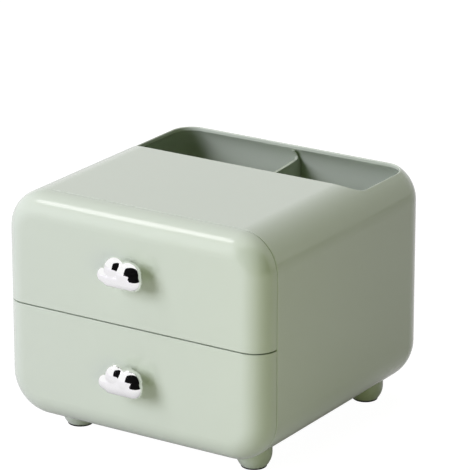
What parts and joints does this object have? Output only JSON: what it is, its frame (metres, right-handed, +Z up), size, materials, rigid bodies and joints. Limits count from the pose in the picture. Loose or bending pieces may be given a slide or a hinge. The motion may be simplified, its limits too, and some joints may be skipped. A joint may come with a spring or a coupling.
{
  "type": "brush holder with drawers",
  "caption": "Rounded desk-top cosmetics box: open brush compartment with a divider behind, drawers with cloud-shaped knobs in front, short round feet.",
  "frame": {"origin": "on the surface that the feet stand on, under the middle of the whole object's box, knobs included", "axes": "+X to the right seen from the drawers' side, +Y from the drawers to the back, +Z up"},
  "size_m": [0.17, 0.19, 0.143],
  "materials": {
    "body_plastic": "smooth, glossy, sage green",
    "inner_plastic": "satin, sage green",
    "knob_chrome": "bright plated zinc",
    "pad_rubber": "matt black",
    "screw_steel": "plain zinc-plated"
  },
  "bodies": {
    "holder_body": {"casing": "body_plastic", "drawer_shelf": "inner_plastic", "compartment_wall": "inner_plastic", "brush_divider": "inner_plastic", "foot_screws": "screw_steel", "front_left_foot": "body_plastic", "front_right_foot": "body_plastic", "back_left_foot": "body_plastic", "back_right_foot": "body_plastic", "front_left_foot_pad": "pad_rubber", "front_right_foot_pad": "pad_rubber", "back_left_foot_pad": "pad_rubber", "back_right_foot_pad": "pad_rubber"},
    "upper_drawer": {"upper_drawer_face": "body_plastic", "upper_drawer_tray": "inner_plastic", "upper_knob": "knob_chrome", "upper_knob_screw": "screw_steel", "upper_face_screws": "screw_steel"},
    "lower_drawer": {"lower_drawer_face": "body_plastic", "lower_drawer_tray": "inner_plastic", "lower_knob": "knob_chrome", "lower_knob_screw": "screw_steel", "lower_face_screws": "screw_steel"}
  },
  "joints": [
    {"name": "upper_drawer_slide", "type": "slide", "parent": "holder_body", "child": "upper_drawer", "axis": [0, -1, 0], "range_m": [0, 0.0693]},
    {"name": "lower_drawer_slide", "type": "slide", "parent": "holder_body", "child": "lower_drawer", "axis": [0, -1, 0], "range_m": [0, 0.0693]}
  ]
}
